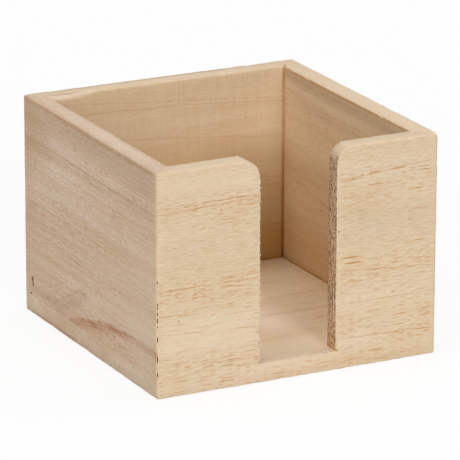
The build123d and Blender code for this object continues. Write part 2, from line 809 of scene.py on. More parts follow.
def grain_noise(tree, vector, per_metre, seed, detail=2.0, roughness=0.55):
    """Noise with so many features to the metre along each axis."""
    inputs = {
        "Vector": vector_calc(tree, "MULTIPLY", vector, per_metre),
        "W": seed,
        "Scale": 1.0,
        "Detail": detail,
        "Roughness": roughness,
    }
    return add_node(tree, "TexNoise", inputs, noise_dimensions="4D").outputs


def new_group(name, inputs, outputs):
    """Empty shader group with named sockets, and the sockets of its input and output nodes."""
    group = bpy.data.node_groups.new(name, "ShaderNodeTree")
    for socket, (kind, default) in inputs.items():
        made = group.interface.new_socket(socket, in_out="INPUT", socket_type="NodeSocket" + kind)
        if default is not None:
            made.default_value = default
    for socket, kind in outputs.items():
        group.interface.new_socket(socket, in_out="OUTPUT", socket_type="NodeSocket" + kind)
    return group, group.nodes.new("NodeGroupInput").outputs, group.nodes.new("NodeGroupOutput").inputs


def group_node(tree, name, inputs):
    """Outputs of one of the shared groups, placed in a material."""
    return add_node(tree, "Group", inputs, node_tree=bpy.data.node_groups[name]).outputs


def cleared_tree(owner):
    """Node tree of a new material or world, without the nodes that it starts with."""
    owner.use_nodes = True
    owner.node_tree.nodes.clear()
    return owner.node_tree


# Shared wood effects, in board coordinates: X along the grain, Y down from the rim, Z through the board

def build_drift_group():
    """Bends the grain slowly, so that no line in it runs straight as a ruler, and breaks it up."""
    inputs = {"Vector": ("Vector", None), "Seed": ("Float", 0.0), "Amount": ("Float", 0.0012)}
    outputs = {"Vector": "Vector", "Sway": "Float", "Breaks": "Float"}
    group, given, put = new_group("Grain drift", inputs, outputs)
    vector, seed = given["Vector"], given["Seed"]
    slow = grain_noise(group, vector, (13.0, 26.0, 26.0), seed, 1.0)["Color"]
    centred = vector_calc(group, "SUBTRACT", slow, (0.5, 0.5, 0.5))
    across = vector_calc(group, "MULTIPLY", centred, (0.0, 2.0, 2.0))
    scaled = {"Vector": across, "Scale": given["Amount"]}
    drift = add_node(group, "VectorMath", scaled, operation="SCALE")
    sway = grain_noise(group, vector, (170.0, 60.0, 60.0), seed, 3.0, 0.65)["Fac"]
    breaks = grain_noise(group, vector, (150.0, 1500.0, 1500.0), seed, 4.0, 0.75)["Fac"]
    fill(group, put["Vector"], vector_calc(group, "ADD", vector, drift.outputs["Vector"]))
    fill(group, put["Sway"], calc(group, "SUBTRACT", sway, 0.5))
    fill(group, put["Breaks"], fade(group, breaks, 0.44, 0.6))


def build_line_group():
    """Mask of one growth line, which fades over 7 mm at both ends and is broken along its length."""
    inputs = {
        "Vector": ("Vector", None),
        "Sway": ("Float", 0.0),
        "Breaks": ("Float", 1.0),
        "Below": ("Float", 0.01),
        "Slope": ("Float", 0.0),
        "Bend": ("Float", 0.0),
        "Wander": ("Float", 0.0004),
        "Width": ("Float", 0.0005),
        "Start": ("Float", -0.06),
        "End": ("Float", 0.06),
        "Feather": ("Float", 0.5),
    }
    group, given, put = new_group("Growth line", inputs, {"Mask": "Float"})
    axes = axes_of(group, given["Vector"])
    along, below = axes["X"], axes["Y"]
    path = calc(group, "MULTIPLY_ADD", given["Slope"], along, given["Below"])
    path = calc(group, "MULTIPLY_ADD", given["Bend"], times(group, along, along), path)
    path = calc(group, "MULTIPLY_ADD", given["Wander"], times(group, given["Sway"], 4.0), path)
    off = calc(group, "ABSOLUTE", calc(group, "SUBTRACT", below, path))
    body = fade(group, calc(group, "DIVIDE", off, given["Width"]), 1.0, 0.0)
    lost = times(group, given["Feather"], calc(group, "SUBTRACT", 1.0, given["Breaks"]))
    body = times(group, body, calc(group, "SUBTRACT", 1.0, lost))
    faded = 7 * MM
    begins = fade(group, along, given["Start"], calc(group, "ADD", given["Start"], faded))
    stops = fade(group, along, given["End"], calc(group, "SUBTRACT", given["End"], faded))
    fill(group, put["Mask"], times(group, body, times(group, begins, stops)))


def build_spot_group():
    """Mask of one spot, such as a knot or a speck."""
    inputs = {
        "Vector": ("Vector", None),
        "Place": ("Vector", None),
        "Reach": ("Vector", (0.001, 0.001, 0.001)),
        "Softness": ("Float", 0.5),
    }
    group, given, put = new_group("Spot", inputs, {"Mask": "Float"})
    away = vector_calc(group, "SUBTRACT", given["Vector"], given["Place"])
    away = vector_calc(group, "DIVIDE", away, given["Reach"])
    share = add_node(group, "VectorMath", {"Vector": away}, operation="LENGTH").outputs["Value"]
    ragged = grain_noise(group, given["Vector"], (700.0, 1400.0, 1400.0), 3.0)["Fac"]
    wide = calc(group, "ADD", share, swing(group, ragged, 0.7))
    fill(group, put["Mask"], fade(group, wide, 1.0, calc(group, "SUBTRACT", 1.0, given["Softness"])))


def pore_layer(tree, vector, cell, size, porosity):
    """Short dashes along the grain, one in some of the cells, which show as dots on end grain."""
    inputs = {"Vector": vector_calc(tree, "DIVIDE", vector, cell), "Scale": 1.0, "Randomness": 0.95}
    cells = add_node(tree, "TexVoronoi", inputs, voronoi_dimensions="3D", feature="F1").outputs
    chance = add_node(tree, "SeparateColor", {"Color": cells["Color"]}).outputs
    present = fade(tree, calc(tree, "SUBTRACT", porosity, chance["Red"]), 0.0, 0.1)
    wide = times(tree, size, calc(tree, "MULTIPLY_ADD", chance["Green"], 0.6, 0.7))
    body = fade(tree, calc(tree, "DIVIDE", cells["Distance"], wide), 1.0, 0.7)
    depth = calc(tree, "MULTIPLY_ADD", chance["Blue"], 0.55, 0.45)
    return times(tree, times(tree, present, body), depth)


def build_wood_group():
    """Bare sanded wood: tone, fibres and pores along the grain, saw marks across it, and end grain."""
    inputs = {
        "Vector": ("Vector", None),
        "Wood": ("Color", (0.72, 0.56, 0.38, 1.0)),
        "Pore Color": ("Color", (0.44, 0.25, 0.1, 1.0)),
        "End Tint": ("Color", (0.97, 0.88, 0.8, 1.0)),
        "Speckle": ("Float", 0.8),
        "Porosity": ("Float", 0.2),
        "End": ("Float", 0.0),
        "Tone": ("Float", 1.0),
        "Fibre": ("Float", 1.0),
        "Saw Marks": ("Float", 0.0),
        "Seed": ("Float", 0.0),
    }
    outputs = {"Color": "Color", "Height": "Float", "Roughness": "Float"}
    group, given, put = new_group("Bare wood", inputs, outputs)
    vector, seed = given["Vector"], given["Seed"]
    patches = grain_noise(group, vector, (7.0, 60.0, 60.0), seed)["Fac"]
    bands = grain_noise(group, vector, (9.0, 330.0, 330.0), seed, 3.0)["Fac"]
    fibres = grain_noise(group, vector, (60.0, 2300.0, 2300.0), seed, 2.0, 0.6)["Fac"]
    hairs = grain_noise(group, vector, (300.0, 3900.0, 3900.0), seed, 2.0, 0.6)["Fac"]
    cuts = grain_noise(group, vector, (620.0, 45.0, 45.0), seed, 3.0, 0.7)["Fac"]
    tints = grain_noise(group, vector, (45.0, 1500.0, 1500.0), seed)["Color"]
    mottles = grain_noise(group, vector, (20.0, 170.0, 170.0), seed)["Color"]

    # Slow tone along the board, and fine tone from fibre to fibre
    slow = swing(group, bands, 0.2, swing(group, patches, 0.3))
    level = calc(group, "MULTIPLY_ADD", slow, given["Tone"], 1.0)
    fine = swing(group, hairs, 0.85, swing(group, fibres, 0.14))
    level = calc(group, "MULTIPLY_ADD", fine, given["Fibre"], level)
    level = calc(group, "MULTIPLY_ADD", calc(group, "SUBTRACT", cuts, 0.5), given["Saw Marks"], level)

    # The darker the fibre, the warmer it is, and the hue strays a little from fibre to fibre
    powers = (("X", 0.6), ("Y", 1.15), ("Z", 1.8))
    warmth = {axis: calc(group, "POWER", level, power) for axis, power in powers}
    warmth = add_node(group, "CombineXYZ", warmth).outputs["Vector"]
    toned = vector_calc(group, "MULTIPLY", given["Wood"], warmth)
    stray = vector_calc(group, "SUBTRACT", vector_calc(group, "ADD", tints, mottles), (1.0, 1.0, 1.0))
    stray = vector_calc(group, "MULTIPLY_ADD", stray, (0.06, 0.04, 0.12), (1.0, 1.0, 1.0))
    toned = vector_calc(group, "MULTIPLY", toned, stray)

    # Pores come in groups
    patchy = grain_noise(group, vector, (55.0, 330.0, 330.0), seed)["Fac"]
    grouped = calc(group, "MULTIPLY_ADD", fade(group, patchy, 0.3, 0.6), 0.5, 0.5)
    porosity = times(group, given["Porosity"], grouped)
    short = pore_layer(group, vector, (0.0034, 0.00034, 0.00034), 0.44, porosity)
    long = pore_layer(group, vector, (0.0095, 0.0005, 0.0005), 0.34, porosity)
    pores = calc(group, "MAXIMUM", times(group, short, 0.8), long)
    along_grain = mix(group, pores, toned, given["Pore Color"])
    deepest = times(group, fade(group, pores, 0.75, 1.0), 0.28)
    along_grain = mix(group, deepest, along_grain, (0.25, 0.115, 0.035, 1.0))

    # End grain shows the pores as dark dots with pale walls
    rings = grain_noise(group, vector, (30.0, 240.0, 500.0), seed)["Fac"]
    crowd = calc(group, "MULTIPLY_ADD", fade(group, rings, 0.32, 0.62), 0.6, 0.34)
    open_ends = pore_layer(group, vector, (0.0045, 0.0007, 0.0007), 0.6, crowd)
    dots = times(group, open_ends, given["Speckle"])
    dark = mix(group, 0.8, given["Pore Color"], (0.05, 0.02, 0.02, 1.0))
    end_grain = mix(group, dots, mix(group, 1.0, toned, given["End Tint"], "MULTIPLY"), dark)
    fill(group, put["Color"], mix(group, given["End"], along_grain, end_grain))

    side_height = calc(group, "MULTIPLY_ADD", pores, -0.35, times(group, fine, 0.4))
    end_height = times(group, dots, -1.4)
    step = calc(group, "SUBTRACT", end_height, side_height)
    fill(group, put["Height"], calc(group, "MULTIPLY_ADD", given["End"], step, side_height))
    fill(group, put["Roughness"], swing(group, fibres, 0.2, 0.7))


# The wood of each board

def board_coordinates(tree, along, flat):
    """Object coordinates turned to run along the grain, down from the rim and through the wall, then the
    place that the pores follow, and its range. A board that lies flat keeps them as they are, and its
    pores change from front to back."""
    place = add_node(tree, "TexCoord").outputs["Object"]
    axes = axes_of(tree, place)
    if flat:
        return place, calc(tree, "ADD", axes["Y"], HALF_DEPTH), 2 * HALF_DEPTH
    below = calc(tree, "SUBTRACT", RIM, axes["Z"])
    through = axes["Y"] if along == "X" else axes["X"]
    turned = add_node(tree, "CombineXYZ", {"X": axes[along], "Y": below, "Z": through}).outputs["Vector"]
    return turned, below, RIM


def well_mask(tree, turned):
    """1 on the face of a wall that looks into the well, and 0 on its outside."""
    through = axes_of(tree, turned)["Z"]
    return fade(tree, calc(tree, "ABSOLUTE", through), WELL_X + WALL / 2, WELL_X)


def end_grain_mask(tree, along):
    """1 where the surface faces along the grain."""
    facing = axes_of(tree, add_node(tree, "TexCoord").outputs["Normal"])[along]
    return fade(tree, calc(tree, "ABSOLUTE", facing), 0.75, 0.98)


def profile(tree, value, length, stops):
    """Value that changes over a length, from stops of (place, value) with places in millimetres."""
    ramp = add_node(tree, "ValToRGB", {"Fac": calc(tree, "DIVIDE", value, length)})
    ramp.color_ramp.interpolation = "EASE"
    elements = ramp.color_ramp.elements
    while len(elements) < len(stops):
        elements.new(0.5)
    for element, (place, level) in zip(elements, stops):
        element.position = place * MM / length
        element.color = (level, level, level, 1.0)
    return ramp.outputs["Color"]


def line_mask(tree, grain, line):
    """Mask of one growth line in the grain."""
    inputs = {
        "Vector": grain["Vector"],
        "Sway": grain["Sway"],
        "Breaks": grain["Breaks"],
        "Below": line.below * MM,
        "Slope": line.slope,
        "Bend": line.bend / MM,
        "Wander": line.wander * MM,
        "Width": line.width * MM,
        "Start": line.start * MM,
        "End": line.end * MM,
        "Feather": line.feather,
    }
    return group_node(tree, "Growth line", inputs)["Mask"]


def spot_mask(tree, vector, spot):
    """Mask of one knot, speck or patch."""
    inputs = {
        "Vector": vector,
        "Place": Vector(spot.place) * MM,
        "Reach": Vector(spot.reach) * MM,
        "Softness": spot.softness,
    }
    return group_node(tree, "Spot", inputs)["Mask"]


def draw(tree, color, mask, mark):
    """Draws a line or spot over a colour."""
    return mix(tree, times(tree, mask, mark.strength), color, wood_color(mark.color))


def wood_material(name):
    """Bare wood of one board."""
    board = WOODS[name]
    material = bpy.data.materials.new(name)
    tree = cleared_tree(material)
    straight, across, width = board_coordinates(tree, board.along, board.flat)
    grain = group_node(tree, "Grain drift", {"Vector": straight, "Seed": board.seed})
    masks = [line_mask(tree, grain, line) for line in board.lines]
    porosity = profile(tree, across, width, board.pores)
    for mask, line in zip(masks, board.lines):
        if line.pores:
            porosity = calc(tree, "MAXIMUM", porosity, times(tree, mask, line.pores))
    inputs = {
        "Vector": grain["Vector"],
        "Wood": wood_color(board.color),
        "Pore Color": wood_color("pore"),
        "End Tint": wood_color(board.end_tint),
        "Speckle": board.speckle,
        "Porosity": porosity,
        "End": end_grain_mask(tree, board.along),
        "Tone": board.tone,
        "Fibre": board.fibre,
        "Saw Marks": board.saw_marks,
        "Seed": board.seed,
    }
    bare = group_node(tree, "Bare wood", inputs)
    color = bare["Color"]
    # Painted shade: the bands of shade low in the well, and the glue line along the seat, are drawn only
    # on the face in the well.
    if board.well_bands:
        in_the_well = well_mask(tree, straight)
    for band in board.well_bands:
        color = draw(tree, color, times(tree, line_mask(tree, grain, band), in_the_well), band)
    for mask, line in zip(masks, board.lines):
        color = draw(tree, color, mask, line)
    for spot in board.spots:
        color = draw(tree, color, spot_mask(tree, straight, spot), spot)
    joint = add_node(tree, "Attribute", attribute_name="joint").outputs["Fac"]
    color = mix(tree, times(tree, joint, 2.0), color, wood_color("glue"))
    color = mix(tree, calc(tree, "MULTIPLY_ADD", joint, 2.0, -1.0), color, wood_color("joint"))
    bump = add_node(tree, "Bump", {"Strength": 0.5, "Distance": 0.1 * MM, "Height": bare["Height"]})
    surface = {
        "Base Color": color,
        "Roughness": bare["Roughness"],
        "Specular IOR Level": 0.25,
        "Normal": bump.outputs["Normal"],
    }
    shader = add_node(tree, "BsdfPrincipled", surface)
    add_node(tree, "OutputMaterial", {"Surface": shader.outputs["BSDF"]})
    return material


# Faces that the spots lie on, in millimetres
FRONT_FACE = -HALF_DEPTH / MM
LEFT_FACE = -HALF_WIDTH / MM
RIGHT_WELL_FACE = WELL_X / MM
WELL_FLOOR = SEAT / MM

# Front panels, cut from one board: their growth lines run on across the notch
FRONT_PORES = (
    (0, 0.05), (9, 0.08), (10.5, 0.36), (13.5, 0.36), (17.5, 0.2), (23, 0.12),
    (39, 0.1), (41.5, 0.34), (45.5, 0.32), (51, 0.3), (58, 0.32), (66, 0.42),
    (71, 0.42), (81.5, 0.42),
)
FRONT_LINES = (
    Line(12, 0.4, "line", 0.85, slope=-0.02, wander=0.35, pores=0.8, feather=0.8, end=BEFORE_NOTCH),
    Line(12.6, 0.4, "line", 0.85, slope=-0.0475, wander=0.35, pores=0.8, feather=0.8, end=BEFORE_NOTCH),
    Line(13.5, 0.45, "line", 0.9, slope=-0.08, pores=0.8, feather=0.75, start=AFTER_NOTCH),
    Line(11.6, 0.45, "line", 0.55, slope=-0.06, pores=0.7, feather=0.85, start=AFTER_NOTCH),
    Line(16.4, 0.4, "line", 0.35, slope=-0.02, pores=0.7, feather=0.9),
    Line(42.6, 0.38, "line", 0.7, pores=0.8, feather=0.85, end=BEFORE_NOTCH),
    Line(44.4, 0.35, "line", 0.6, pores=0.7, feather=0.9, end=BEFORE_NOTCH),
    Line(43.6, 0.38, "line", 0.8, slope=0.08, wander=0.45, pores=0.8, feather=0.8, start=AFTER_NOTCH),
    Line(49, 0.4, "line", 0.35, slope=0.02, wander=0.5, pores=0.7, feather=0.9, start=AFTER_NOTCH),
    Line(57.5, 0.35, "line", 0.7, wander=0.8, pores=0.7, feather=0.7, start=AFTER_NOTCH),
    Line(61, 0.35, "line", 0.35, slope=0.01, wander=0.5, pores=0.6, feather=0.9, start=AFTER_NOTCH),
    Line(66.9, 0.38, "line", 0.65, pores=0.7, feather=0.85, end=BEFORE_NOTCH),
    Line(71.5, 0.4, "line", 0.4, pores=0.8, feather=0.85, end=BEFORE_NOTCH),
    Line(69.7, 0.4, "line", 0.75, slope=0.04, pores=0.8, feather=0.8, start=AFTER_NOTCH),
    Line(12.1, 0.22, "pore", 0.5, slope=-0.02, wander=0.35, feather=1, end=BEFORE_NOTCH),
    Line(12.7, 0.22, "pore", 0.5, slope=-0.0475, wander=0.35, feather=1, end=BEFORE_NOTCH),
    Line(42.7, 0.22, "pore", 0.45, feather=1, end=BEFORE_NOTCH),
    Line(13.6, 0.25, "pore", 0.6, slope=-0.08, feather=0.95, start=AFTER_NOTCH),
    Line(43.7, 0.22, "pore", 0.45, slope=0.08, wander=0.45, feather=1, start=AFTER_NOTCH),
    Line(69.8, 0.22, "pore", 0.45, slope=0.04, feather=1, start=AFTER_NOTCH),
    Line(29.5, 10, "shade", 0.08, wander=2, feather=0.1, end=BEFORE_NOTCH),
    Line(28.5, 10, "shade", 0.15, wander=2, feather=0.1, start=AFTER_NOTCH),
    Line(5, 5.5, "pale", 0.3, wander=1, feather=0.2, end=BEFORE_NOTCH),
    Line(4, 6.5, "line", 0.05, wander=1, feather=0.2, start=AFTER_NOTCH),
    Line(60, 14, "pale", 0.7, wander=2, feather=0.1, end=BEFORE_NOTCH),
    Line(60, 12, "pale", 0.3, wander=2, feather=0.1, start=AFTER_NOTCH),
    Line(48.2, 0.32, "pore", 0.55, wander=0.5, feather=1, end=BEFORE_NOTCH),
    Line(50.6, 0.32, "pore", 0.75, feather=0.9, start=-45, end=-24),
    Line(55, 0.32, "pore", 0.8, slope=0.06, feather=0.8, end=-36),
    Line(54.2, 0.32, "pore", 0.75, feather=0.85, start=-28, end=BEFORE_NOTCH),
    Line(57.4, 0.32, "pore", 0.5, wander=0.5, feather=1, end=BEFORE_NOTCH),
    Line(61.3, 0.32, "pore", 0.75, slope=0.055, feather=0.8, end=-34),
    Line(60.8, 0.32, "pore", 0.75, slope=0.03, feather=0.85, start=-31, end=BEFORE_NOTCH),
)
FRONT_SPOTS = (
    Spot((0, 0, -51.2), (90, 1, 5.5), "pale", 0.35, 0.8),
    Spot((15.6, 30.6, FRONT_FACE), (0.4, 0.3, 1), "knot", 0.9, 0.5),
    Spot((-46.7, 54, FRONT_FACE), (0.6, 0.3, 1), "pore", 0.9, 0.5),
    Spot((-30.3, 16.3, FRONT_FACE), (0.6, 0.25, 1), "streak", 0.6, 0.5),
    # Painted shade on the right wall of the notch: darker towards its back and at its foot.
    Spot((15, 44, -48.2), (1.2, 46, 3.6), "streak", 0.12, 0.8),
    Spot((15, 73, -51.2), (1.2, 5, 7), "amber_and_shade", 0.3),
    # Painted highlight: a pale line down the arris of the left front panel at the notch.
    Spot((-15.3, 45, -54.9), (0.5, 42, 0.5), "pale", 0.5, 0.6),
    Spot((-23, 18.5, FRONT_FACE), (16, 7, 1), "line", 0.14),
    Spot((26, 21, FRONT_FACE), (18, 9, 1), "line", 0.14),
    Spot((25, 72.5, FRONT_FACE), (18, 6, 1), "chalk", 0.45),
)

# Back, smoother than the front
BACK_PORES = (
    (0, 0.06), (20, 0.06), (40, 0.08), (43, 0.4), (47, 0.12), (81.5, 0.15),
)
# Painted shade on the back's face in the well: amber and rust bands darken and warm it the lower they lie,
# with a paler band between them, and a glue line runs along the seat.
BACK_WELL_SHADE_AND_GLUE = (
    Line(37, 20, "amber_and_shade", 0.36, wander=0.5, feather=0.1),
    Line(37, 17, "rust_and_shade", 0.2, slope=0.02, wander=0.5, feather=0.1),
    Line(50, 18, "amber_and_shade", 0.3, wander=0.5, feather=0.1),
    Line(57.5, 8, "pale", 0.55, wander=0.5, feather=0.2),
    Line(68, 20, "amber_and_shade", 0.75, wander=0.5, feather=0.1),
    Line(81, 16, "rust_and_shade", 0.6, wander=0.8, feather=0.1),
    Line(74.2, 2, "glue", 0.22, wander=0.3),
)
BACK_LINES = (
    Line(11, 2.6, "line", 0.12, slope=0.07, feather=0.2),
    Line(29, 7, "shade", 0.1, slope=0.1, wander=1, feather=0.1),
    Line(7.6, 0.4, "rust_and_shade", 0.45, slope=0.09, wander=0.3, pores=0.3, feather=0.6),
    Line(9.7, 0.4, "rust_and_shade", 0.55, slope=0.05, bend=0.0006, wander=0.25, pores=0.3, feather=0.5),
    Line(22.1, 0.5, "line", 0.4, slope=0.107, wander=0.5, feather=0.5),
    Line(38.7, 0.45, "rust_and_shade", 0.7, slope=0.09, wander=0.3, pores=0.4),
    Line(46.6, 0.6, "rust_and_shade", 0.55, slope=-0.03, wander=0.3, feather=0.4),
    Line(60, 0.8, "rust_and_shade", 0.3, slope=0.02, wander=0.8, feather=0.5),
    Line(66, 0.6, "rust_and_shade", 0.3, slope=-0.04, wander=0.8, feather=0.5),
)
BACK_SPOTS = (
    Spot((0, 0, 51.3), (90, 1, 4.6), "chalk", 0.5, 0.8),
    Spot((-41, 0.5, 48.9), (17, 2.4, 3.4), "chalk", 0.6, 0.6),
    Spot((-42, 0.5, 50.4), (12, 0.9, 0.7), "rust_and_shade", 0.6, 0.8),
    Spot((-39, 0.8, 49.4), (10, 0.9, 0.6), "rust_and_shade", 0.5, 0.8),
    Spot((-33, 1.2, 48), (9, 0.9, 0.6), "rust_and_shade", 0.5, 0.8),
    # Painted shade: a dark line along the outer arris of the back rim.
    Spot((-12, 0.3, 55.4), (58, 2, 2.9), "rust_and_shade", 0.5, 0.6),
    Spot((21, 0.3, 55.4), (13, 2, 2.9), "rust_and_shade", 0.6, 0.6),
    Spot((0, 0, 53.4), (90, 0.8, 0.5), "rust_and_shade", 0.14),
    # Painted shade on the left of the back's face in the well, and painted light near its right end.
    Spot((-24, 20, 47.5), (36, 20, 3), "rust_and_shade", 0.12),
    Spot((46, 30, 47.5), (20, 30, 3), "pale", 0.3),
)

# Left side, with the knot near the back and the reddish streak that sweeps up from the seat
LEFT_PORES = (
    (0, 0.07), (12, 0.09), (15, 0.24), (19, 0.08), (37, 0.07), (39, 0.18),
    (42, 0.07), (47, 0.15), (52, 0.1), (60, 0.08), (81.5, 0.08),
)
FINE_LINES = (2.6, 4.1, 5.3, 6.6, 8.2, 9.7, 11.2)
FAINT_LINES = (17.9, 22.2, 25.1, 28.6, 33.4, 36.7, 41.3, 44.7, 49.2, 53.0, 57.3, 62.4)


def streak_line(above, width, start, end, strength, feather):
    """One strand of the reddish streak, which levels out at its crest towards the front. Above is how far
    it runs over the middle of the streak."""
    bend = 0.0028
    crest = -42.0
    crest_below = 65.6 - above
    return Line(
        crest_below + bend * crest * crest,
        width,
        "streak",
        strength,
        slope=-2 * bend * crest,
        bend=bend,
        wander=0.35,
        pores=0.4,
        feather=feather,
        start=start,
        end=end,
    )


LEFT_LINES = (
    Line(2.2, 5.4, "shade", 0.34, wander=0.2, feather=0.1),
    Line(1.1, 1.2, "rust_and_shade", 0.45, wander=0.1),
    Line(1.2, 1.1, "streak", 0.24, wander=0.1, start=5),
    Line(1, 1.6, "rust_and_shade", 0.56, wander=0.1, end=14),
    Line(6.5, 6.5, "shade", 0.3, wander=0.3, feather=0.2),
    Line(16.6, 3.6, "rust_and_shade", 0.34, slope=-0.003, wander=0.2, pores=0.3),
    Line(15.2, 0.8, "rust_and_shade", 0.5, slope=-0.003, wander=0.2, pores=0.5, feather=0.4),
    Line(20.5, 1.6, "pale", 0.16),
    Line(23.5, 0.6, "line", 0.2, feather=0.5),
    Line(26.5, 1, "rust_and_shade", 0.16, feather=0.5, end=40),
    Line(31.2, 1.8, "pale", 0.25),
    Line(35, 1.2, "rust_and_shade", 0.14, feather=0.4),
    Line(38.6, 1, "shade", 0.35, wander=0.3, pores=0.2, feather=0.5, start=0),
    Line(38.4, 0.5, "line", 0.35, wander=0.3, pores=0.3, feather=0.6, start=-45),
    Line(42.6, 1.4, "pale", 0.14),
    Line(46.5, 1, "rust_and_shade", 0.26, wander=0.3, pores=0.2, feather=0.4),
    Line(51, 0.8, "rust_and_shade", 0.18, pores=0.2, feather=0.5),
    Line(54.9, 1.9, "pale", 0.3),
    Line(58.6, 3, "pale", 0.34),
    Line(71.6, 1.7, "shade", 0.42, start=24, end=54),
    Line(57.2, 1.2, "shade", 0.4, slope=0.47, wander=0.5, start=1, end=33),
    Line(60.4, 4.6, "shade", 0.42, slope=0.47, wander=0.5, start=-2, end=30),
    Line(61.6, 1.5, "shade", 0.25, start=-12, end=16),
    Line(54.6, 0.9, "pale", 0.3, slope=0.47, start=4, end=30),
    streak_line(0.0, 2.8, -62, 22, 0.48, 0.4),
    streak_line(0.4, 1.4, -62, -14, 0.35, 0.5),
    streak_line(0.6, 0.7, -62, 10, 0.8, 0.7),
    streak_line(-0.7, 0.5, -62, 18, 0.8, 0.9),
    streak_line(1.5, 0.5, -24, 20, 0.85, 0.9),
    streak_line(-1.9, 0.5, -26, 24, 0.7, 0.9),
    *[Line(below, 0.4, "line", 0.4, wander=0.15, feather=0.6) for below in FINE_LINES],
    *[Line(below, 0.4, "line", 0.32, wander=0.3, feather=0.65) for below in FAINT_LINES],
)
LEFT_SPOTS = (
    Spot((32, 70.6, LEFT_FACE), (15, 3.6, 3), "shade", 0.26),
    Spot((4.5, 60.8, LEFT_FACE), (2.6, 0.7, 1.6), "streak", 0.5, 0.7),
    Spot((48.4, 67.9, LEFT_FACE), (0.65, 1.3, 1.6), "knot", 1, 0.4),
    Spot((47.6, 69.7, LEFT_FACE), (0.65, 1.3, 1.6), "knot", 1, 0.4),
    Spot((48.2, 69, LEFT_FACE), (1.5, 2.8, 2), "streak", 0.55, 0.8),
    Spot((49.6, 73.9, LEFT_FACE), (1, 0.45, 1.4), "knot", 0.9, 0.5),
    Spot((0, 71.7, LEFT_FACE), (13, 2.8, 3), "rust_and_shade", 0.16),
    Spot((46, 12, LEFT_FACE), (24, 22, 3), "rust_and_shade", 0.38),
    Spot((-40, 14, LEFT_FACE), (18, 14, 3), "rust_and_shade", 0.14),
    Spot((-40, 62, LEFT_FACE), (17, 9, 3), "pale", 0.25),
    Spot((-2, 63.5, LEFT_FACE), (16, 6, 3), "pale", 0.45),
    Spot((60, 30, LEFT_FACE), (26, 60, 3), "rust_and_shade", 0.2),
    Spot((-14, 46, LEFT_FACE), (26, 13, 3), "pale", 0.26),
    Spot((40, 3.4, LEFT_FACE), (24, 4, 3), "pale", 0.26),
    Spot((-46, 48, LEFT_FACE), (30, 42, 3), "pale", 0.35),
    Spot((0, 0, -51), (90, 1, 4.6), "chalk", 0.5, 0.8),
    Spot((-42, 71.5, LEFT_FACE), (18, 4, 3), "pale", 0.4),
)

# Right side
RIGHT_PORES = (
    (0, 0.05), (12, 0.08), (15, 0.2), (19, 0.06), (37, 0.05), (39, 0.16),
    (42, 0.05), (47, 0.14), (52, 0.08), (60, 0.05), (81.5, 0.05),
)
# Painted shade on the right side's face in the well: amber bands darken and warm it lower down, and a glue
# line runs along the seat.
RIGHT_WELL_SHADE_AND_GLUE = (
    Line(30, 15, "amber_and_shade", 0.12, wander=0.5, feather=0.1),
    Line(66, 26, "amber_and_shade", 0.28, wander=0.5, feather=0.1),
    Line(74.3, 2.6, "glue", 0.4, wander=0.3),
)
RIGHT_LINES = (
    Line(3.4, 3.6, "shade", 0.42, slope=-0.02, wander=0.3, feather=0.2),
    Line(8.1, 1.4, "pale", 0.55, slope=-0.04, wander=0.3, feather=0.2),
    Line(8.2, 0.4, "rust_and_shade", 0.5, wander=0.2, feather=0.4, start=34),
    Line(12.5, 2.4, "shade", 0.2, slope=-0.03, wander=0.3, feather=0.2, start=-40, end=36),
    Line(33, 0.6, "line", 0.15, slope=-0.12, wander=0.5, feather=0.6),
    Line(36, 5, "shade", 0.14, wander=1.2, feather=0.1),
    Line(47, 0.7, "line", 0.4, slope=-0.14, wander=0.5, pores=0.4, feather=0.6, start=-20),
    Line(61, 0.6, "line", 0.25, slope=0.05, wander=0.8, pores=0.3, feather=0.6),
)
RIGHT_SPOTS = (
    Spot((10, 52, 55), (0.8, 0.3, 1), "knot", 0.5, 0.5),
    # Painted shade: a thin dark line along the top of the right side's face in the well, just under the
    # rim.
    Spot((0, 0.9, RIGHT_WELL_FACE), (90, 0.6, 0.5), "pore", 0.55, 0.7),
    Spot((0, 0, 51.3), (90, 1, 6), "chalk", 0.55, 0.8),
    Spot((25, 0, 52.6), (34, 0.6, 0.35), "rust_and_shade", 0.22),
    Spot((-12, 0, 51), (30, 0.6, 0.3), "rust_and_shade", 0.2),
    Spot((10, 0, 49.4), (40, 0.6, 0.3), "shade", 0.2),
    Spot((-40, 0, 53.4), (18, 0.6, 0.3), "rust_and_shade", 0.2),
)

